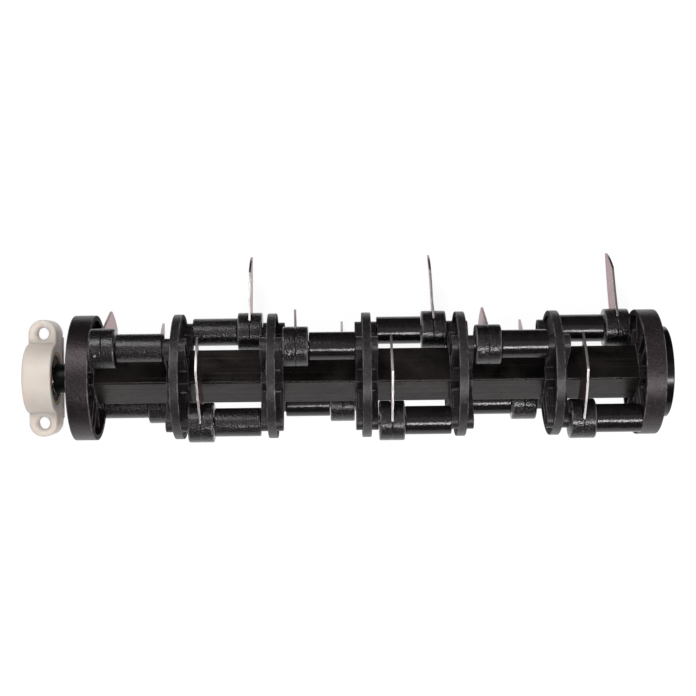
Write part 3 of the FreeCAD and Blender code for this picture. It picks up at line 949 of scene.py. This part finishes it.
def make_middle_disc(node, number):
    centre_x = middle_mm(node).x
    half = arm_depth / 2
    web = tube("web", circle(disc_radius - rim_thickness / 2), square(collar_half - overlap),
               centre_x - web_thickness / 2, centre_x + web_thickness / 2)
    pieces = [rim(centre_x - rim_width / 2, centre_x + rim_width / 2), web,
              collar(centre_x - half, centre_x + half)]
    pieces += arms(centre_x - half, centre_x + half, pockets_of(number - 1, number))
    return smooth(moved(note_edges(joined(node + "_piece", pieces)), roller_place))


def cup_ribs(x_start, x_end):
    ribs = []
    quarter = 360 / arm_count
    half = cup_rib_thickness / 2
    for index in range(arm_count):
        for offset in (cup_rib_turn, quarter - cup_rib_turn):
            rib = block("rib", (x_start, -half, collar_half - 0.2), (x_end, half, disc_radius - 1))
            ribs.append(moved(bevelled(rib, 0.25), turn(quarter * index + offset)))
    return ribs


def make_left_disc():
    low, high = box_mm("end_disc_left")
    inner_x = low.x + cup_wall
    shell = rim(low.x, high.x)
    wall = tube("wall", circle(disc_radius - 0.8), circle(journal_hole_radius), low.x + hair, inner_x)
    inside = inner_x - overlap
    drilled = arms(inside, high.x, pockets_of(None, 0))
    hole = turned("hole", [(cross_hole_start, 0), (cross_hole_end, 0), (cross_hole_end, cross_hole_radius),
                           (cross_hole_start, cross_hole_radius)], 48)
    moved(hole, shift(cross_hole_x, 0, 0) @ Matrix.Rotation(math.pi / 2, 4, "Z"))
    second_hole = hole.copy()
    bpy.context.scene.collection.objects.link(second_hole)
    combine(shell, [hole], "DIFFERENCE")
    combine(drilled[1], [second_hole], "DIFFERENCE")
    pieces = [shell, wall, collar(inside, high.x)] + drilled
    pieces += cup_ribs(inside, high.x - cup_rib_drop)
    return smooth(moved(note_edges(joined("end_disc_left_piece", pieces)), roller_place))


def make_right_disc():
    low, high = box_mm("end_disc_right")
    face_x = high.x - collar_step_width
    inner_x = face_x - cup_wall
    wall = tube("wall", circle(disc_radius - 0.8), square(core_bore_half), inner_x, face_x - hair)
    step = bevelled(tube("step", circle(collar_step_radius, 128), square(core_bore_half, 128),
                         face_x - 0.5, high.x), 0.25)
    inside = inner_x + overlap
    pieces = [rim(low.x, face_x), wall, step, collar(low.x, inside)]
    pieces += arms(low.x, inside, pockets_of(middle_disc_count, None))
    pieces += cup_ribs(low.x + cup_rib_drop, inside)
    return smooth(moved(note_edges(joined("end_disc_right_piece", pieces)), roller_place))


stand_for(make_left_disc(), "disc_plastic", "roller", "end_disc_left", finish="left_disc_plastic_shaded")
for number in range(1, middle_disc_count + 1):
    node = "disc_" + str(number)
    stand_for(make_middle_disc(node, number), "disc_plastic", "roller", node)
stand_for(make_right_disc(), "disc_plastic", "roller", "end_disc_right", finish="right_disc_plastic")


# Drive end
def make_drive_collar():
    low, high = box_mm("drive_collar")
    web_x = low.x + drive_collar_web
    inner = drive_collar_radius - drive_collar_wall
    return smooth(moved(turned("collar_ring", softened([
        (low.x, drive_collar_hole_radius, 0.1), (web_x, drive_collar_hole_radius, 0.2), (web_x, inner, 0.5),
        (high.x, inner, 0.5), (high.x, drive_collar_radius, 0.7), (low.x, drive_collar_radius, 0.3),
    ], 0.3, 4), 192), roller_place))


def make_drive_insert():
    low, high = box_mm("drive_insert")
    flange_x = high.x - drive_flange_width
    bore_end = high.x - drive_bore_depth
    flange = turned("flange", softened([
        (flange_x, 0, 0), (high.x, 0, 0), (high.x, drive_flange_radius, 0.8),
        (flange_x, drive_flange_radius, 0.1),
    ], 0.2))
    plug = bevelled(prism("plug", rounded_square(plug_half, 0.8), low.x, flange_x + 0.2), 0.3)
    combine(flange, [plug], "UNION")
    bore = flared_hole("bore", bore_end, high.x, drive_bore_radius, 0.4)
    keyway = block("keyway", (bore_end, -keyway_half_width, 0),
                   (high.x + overshoot, keyway_half_width, keyway_top))
    combine(flange, [bore, keyway], "DIFFERENCE")
    return smooth(moved(flange, roller_place))


stand_for(make_drive_collar(), "gloss_black_plastic", "roller", "drive_collar")
stand_for(make_drive_insert(), "pin_steel", "roller", "drive_insert")


# Tines: the knife points up along Z before the tine is turned to its angle
def notched_radius(x, radius, angle):
    """Radius of the hub with its mould line and the vee groove on the side of the knife."""
    from_knife = abs((angle + 180) % 360 - 180)
    fade = min(1, max(0, (notch_half_angle - from_knife) / notch_fade_angle))
    notch = notch_depth * max(0, 1 - abs(x) / notch_half_width) * fade
    mould_line = mould_line_depth * max(0, 1 - abs(x) / mould_line_half_width)
    return min(radius, hub_radius - max(notch, mould_line))


def half_length(node):
    low, high = box_mm(node)
    return (high.x - low.x) / 2


def gate_cutter():
    """Ring that cuts the pit round the torn gate, on the side away from the knife."""
    outside = -hub_radius - overshoot
    bottom = -hub_radius + gate_pit_depth
    cutter = turned("gate", [(outside, gate_nub_radius - gate_draft), (0.1 - hub_radius, gate_nub_radius),
                             (bottom, gate_nub_radius + gate_draft), (bottom, gate_pit_radius),
                             (outside, gate_pit_radius + gate_pit_flare)], 40)
    return moved(cutter, shift(-gate_offset, 0, 0) @ Matrix.Rotation(-math.pi / 2, 4, "Y"))


def make_hub_mesh():
    half = half_length("tine_hub_1")
    steps = 12
    outside = [(half, hub_radius), (hub_ring_x, hub_radius, 0)]
    outside += [(notch_half_width * step / steps, hub_radius, 0) for step in range(steps, -steps - 1, -1)]
    outside += [(-hub_ring_x, hub_radius, 0), (-half, hub_radius)]
    profile = softened([(-half, hub_bore_radius, 0.3), (half, hub_bore_radius, 0.3)] + outside, hub_edge, 4)
    hub = combine(turned("hub", profile, 160, notched_radius), [gate_cutter()], "DIFFERENCE")
    rounding_start = (half - hub_edge) * MM

    def on_rounding(face):
        return abs(face.center.x) > rounding_start and abs(face.normal.x) < 0.9

    def on_gate(face):
        x, y, z = face.center / MM
        return z < 0 and math.hypot(x + gate_offset, y) < gate_nub_radius + 0.1

    # The end roundings and the gate nub are noted so that the finish can paint highlights on them.
    note_faces(hub, "edge_face", on_rounding)
    note_faces(hub, "gate_face", on_gate)
    return smooth(hub)


def bend_at(height, middle_bend, tip_bend):
    """Sideways set of a knife at a height: smooth through its middle and its tip."""
    t = max(0, height - knife_bend_start) / (knife_length - knife_bend_start)
    return middle_bend * 4 * t * (1 - t) + tip_bend * t * t


def knife_half_width(z, end_height):
    """Reach of a knife's edge that narrows evenly from the root to end_height."""
    share = (z - knife_root_height) / (end_height - knife_root_height)
    return knife_root_half_width + (knife_end_half_width - knife_root_half_width) * share


def knife_rows():
    """Rows of (y, z) points over a knife's face, from its root to its slanted and slightly round end."""
    shoulder = knife_length - knife_slant_length
    shares = [column / knife_columns for column in range(knife_columns + 1)]
    rows = []
    for step in range(knife_lower_rows + 1):
        z = knife_root_height + (shoulder - knife_root_height) * step / knife_lower_rows
        back = knife_half_width(z, shoulder)
        front = knife_half_width(z, knife_length)
        rows.append([(-back + (back + front) * share, z) for share in shares])
    corner = Vector((-knife_end_half_width, shoulder))
    base = Vector((knife_end_half_width + knife_half_width(shoulder, knife_length), 0))
    slant = Vector((2 * knife_end_half_width, knife_slant_length))
    out = Vector((-slant.y, slant.x)).normalized()
    for step in range(1, knife_upper_rows + 1):
        row = []
        for share in shares:
            end = corner + slant * share + out * knife_slant_bulge * 4 * share * (1 - share)
            row.append(tuple((corner + base * share).lerp(end, step / knife_upper_rows)))
        rows.append(row)
    return rows


def plate_faces(row_count, columns):
    """Faces of a plate whose two sides are grids of points, with the wall along their border."""
    width = columns + 1
    layer = width * row_count
    faces = []
    for row in range(row_count - 1):
        for column in range(columns):
            corner = row * width + column
            quad = [corner, corner + 1, corner + width + 1, corner + width]
            faces += [quad, [index + layer for index in quad]]
    last = (row_count - 1) * width
    border = list(range(width))
    border += [row * width + columns for row in range(1, row_count)]
    border += [last + column for column in range(columns - 1, -1, -1)]
    border += [row * width for row in range(row_count - 2, 0, -1)]
    for index, here in enumerate(border):
        there = border[(index + 1) % len(border)]
        faces.append([here, there, there + layer, here + layer])
    return faces


def welded(piece):
    """Join the points that lie on each other."""
    shape = bmesh.new()
    shape.from_mesh(piece.data)
    bmesh.ops.remove_doubles(shape, verts=shape.verts, dist=1e-6)
    shape.to_mesh(piece.data)
    shape.free()
    return piece


def make_knife(name, middle_bend, tip_bend, twist):
    rows = knife_rows()
    lean = math.tan(math.radians(twist))
    vertices = []
    for side in (-1, 1):
        for row in rows:
            for y, z in row:
                twisted = min(1, max(0, (z - knife_bend_start) / knife_bend_start))
                x = side * knife_thickness / 2 + bend_at(z, middle_bend, tip_bend) + y * lean * twisted
                vertices.append((x, y, z))
    knife = new_piece(name, vertices, plate_faces(len(rows), knife_columns))
    return smooth(bevelled(welded(knife), knife_edge, 2, 50))


def knife_angle(node, axle):
    """Direction of a CAD knife about its axle, from the corner at its tip."""
    corners = [vertex.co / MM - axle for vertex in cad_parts[node].data.vertices]
    tip = max(corners, key=lambda corner: math.hypot(corner.y, corner.z))
    lean = math.degrees(math.atan2(knife_end_half_width, knife_length))
    return math.degrees(math.atan2(tip.y, tip.z)) - lean


# Knives that the photo shows bent: sideways set at the middle and the tip, and twist in degrees
knife_sets = {3: (-0.8, -1.2, 0), 5: (-0.4, -1.6, 0), 7: (0.2, -0.3, 0), 8: (-0.1, -1.7, 3.2),
              11: (0.75, -0.2, 0), 12: (-0.5, -1.0, 0)}

first_hub = make_hub_mesh()
for number in range(1, tine_count + 1):
    name = str(number)
    body = "tine_" + name
    axle = middle_mm("tine_hub_" + name)
    place = shift(*axle) @ turn(knife_angle("knife_" + name, axle))
    stand_for(placed_copy("hub_" + name, first_hub, place), "hub_plastic", body, "tine_hub_" + name)
    knife = make_knife("blade_" + name, *knife_sets.get(number, (0, 0, 0)))
    stand_for(moved(keep_own_place(knife), place), "knife_steel", body, "knife_" + name)
bpy.data.objects.remove(first_hub)


# Spacers
def make_spacer_mesh():
    half = half_length("spacer_1")
    return smooth(turned("spacer", softened([
        (-half, pin_radius, 0.2), (half, pin_radius, 0.2), (half, spacer_radius), (0, spacer_radius, 0),
        (-half, spacer_radius),
    ], 0.7, 4), 128))


# The photo shows the first ones as rough as the hubs, and the others smoother
first_spacer = make_spacer_mesh()
for number in range(1, spacer_count + 1):
    node = "spacer_" + str(number)
    spacer = placed_copy(node + "_piece", first_spacer, shift(*middle_mm(node)))
    finish = "hub_plastic" if number <= rough_spacer_count else "spacer_plastic"
    stand_for(spacer, "hub_plastic", "roller", node, finish=finish)
bpy.data.objects.remove(first_spacer)

# CAD nodes that stay, with a finish of their own
for node, finish in (("axle_pins", "pin_steel"), ("journal_pin", "pin_steel"), ("insert_pin", "pin_steel"),
                     ("bearing_circlip", "black_steel"), ("bearing_cage", "cage_steel"),
                     ("bearing_balls", "bearing_steel")):
    dress(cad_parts[node], finish)


# Table
def floor_finish():
    """White table that shows as white and still takes the part's shadow."""
    material = bpy.data.materials.new("table")
    material.use_nodes = True
    tree = material.node_tree
    tree.nodes.clear()
    lit = tree.nodes.new("ShaderNodeBsdfDiffuse")
    lit.inputs["Color"].default_value = (0.92, 0.92, 0.92, 1)
    white = tree.nodes.new("ShaderNodeEmission")
    white.inputs["Color"].default_value = (1, 1, 1, 1)
    white.inputs["Strength"].default_value = 1.08
    rays = tree.nodes.new("ShaderNodeLightPath").outputs
    seen = calculated(tree, "MAXIMUM", rays["Is Camera Ray"], rays["Is Glossy Ray"])
    seen = calculated(tree, "MAXIMUM", seen, rays["Is Transmission Ray"])
    share = calculated(tree, "MULTIPLY", seen, 0.85)
    surface = blended(tree, share, lit.outputs["BSDF"], white.outputs["Emission"])
    output = tree.nodes.new("ShaderNodeOutputMaterial")
    tree.links.new(surface, output.inputs["Surface"])
    return material


table_height = cad_box[0].z / MM - hair
table_half = 20000
corners = [(x * table_half, y * table_half, table_height) for x, y in ((-1, -1), (1, -1), (1, 1), (-1, 1))]
floor = new_piece("table", corners, [[0, 1, 2, 3]])
floor.data.materials.append(floor_finish())


# Light
def studio_world():
    """Dim room light; what shows past the table is white, and gloss sees that white near the horizon."""
    world = bpy.data.worlds.new("studio")
    world.use_nodes = True
    tree = world.node_tree
    dim = tree.nodes["Background"]
    dim.inputs["Color"].default_value = (0.09, 0.09, 0.093, 1)
    white = tree.nodes.new("ShaderNodeBackground")
    white.inputs["Color"].default_value = (1, 1, 1, 1)
    rays = tree.nodes.new("ShaderNodeLightPath").outputs
    direction = tree.nodes.new("ShaderNodeTexCoord")
    split = tree.nodes.new("ShaderNodeSeparateXYZ")
    tree.links.new(direction.outputs["Generated"], split.inputs["Vector"])
    low = calculated(tree, "LESS_THAN", split.outputs["Z"], 0.04)
    mirrored = calculated(tree, "MAXIMUM", rays["Is Glossy Ray"], rays["Is Transmission Ray"])
    share = calculated(tree, "MAXIMUM", rays["Is Camera Ray"], calculated(tree, "MULTIPLY", mirrored, low))
    surface = blended(tree, share, dim.outputs["Background"], white.outputs["Background"])
    tree.links.new(surface, tree.nodes["World Output"].inputs["Surface"])
    return world


def soft_box(name, place, aim, width, height, power):
    """Area lamp at a place, turned towards aim, all in metres and watts."""
    lamp = bpy.data.lights.new(name, "AREA")
    lamp.shape = "RECTANGLE"
    lamp.size = width
    lamp.size_y = height
    lamp.energy = power
    holder = bpy.data.objects.new(name, lamp)
    bpy.context.scene.collection.objects.link(holder)
    holder.location = place
    holder.rotation_mode = "QUATERNION"
    holder.rotation_quaternion = (Vector(aim) - Vector(place)).to_track_quat("-Z", "Y")
    return holder


middle = Vector((0.182, 0.0, 0.021))
bpy.context.scene.world = studio_world()
soft_box("front_strip", (0.47, -0.48, 1.05), (0.28, 0.0, 0.02), 0.76, 0.13, 8.2)
soft_box("back_box", (-0.23, 0.75, 1.0), (0.03, 0.0, 0.02), 0.34, 0.75, 6.2)
soft_box("overhead", (0.182, 0.0, 1.5), middle, 1.7, 1.1, 2.4)
fill = soft_box("fill", (0.182, 0.2, 1.5), middle, 1.5, 1.2, 6.5)
fill.visible_glossy = False

# Low dark card behind the part, which only its reflections show and which casts no shadow: a painted dark
# reflection on the sides that face it.
card = prism("card", [(78, table_height + 1), (82, table_height + 1), (184, 130), (180, 130)], -600, 1000)
card_finish = Finish("card", 0.9)
card.data.materials.append(card_finish.feed(
    Base_Color=card_finish.ramp(card_finish.noise(20), 0.4, 0.6, (0.015, 0.015, 0.015), (0.02, 0.02, 0.02))))
card.visible_camera = False
card.visible_diffuse = False
card.visible_shadow = False

# Camera, at the photograph's place
camera_data = bpy.data.cameras.new("camera")
camera_data.sensor_width = 36
camera_data.lens = 73.83
camera_data.clip_end = 100
camera = bpy.data.objects.new("camera", camera_data)
bpy.context.scene.collection.objects.link(camera)
camera.location = Vector((179.49, 16.05, 881.0)) * MM
camera_turn = (Matrix.Rotation(math.radians(-0.295), 4, "Y") @ Matrix.Rotation(math.radians(0.01), 4, "X")
               @ Matrix.Rotation(math.radians(-0.66), 4, "Z"))
camera.rotation_mode = "QUATERNION"
camera.rotation_quaternion = camera_turn.to_quaternion()
bpy.context.scene.camera = camera
bpy.context.scene.view_settings.view_transform = "Standard"
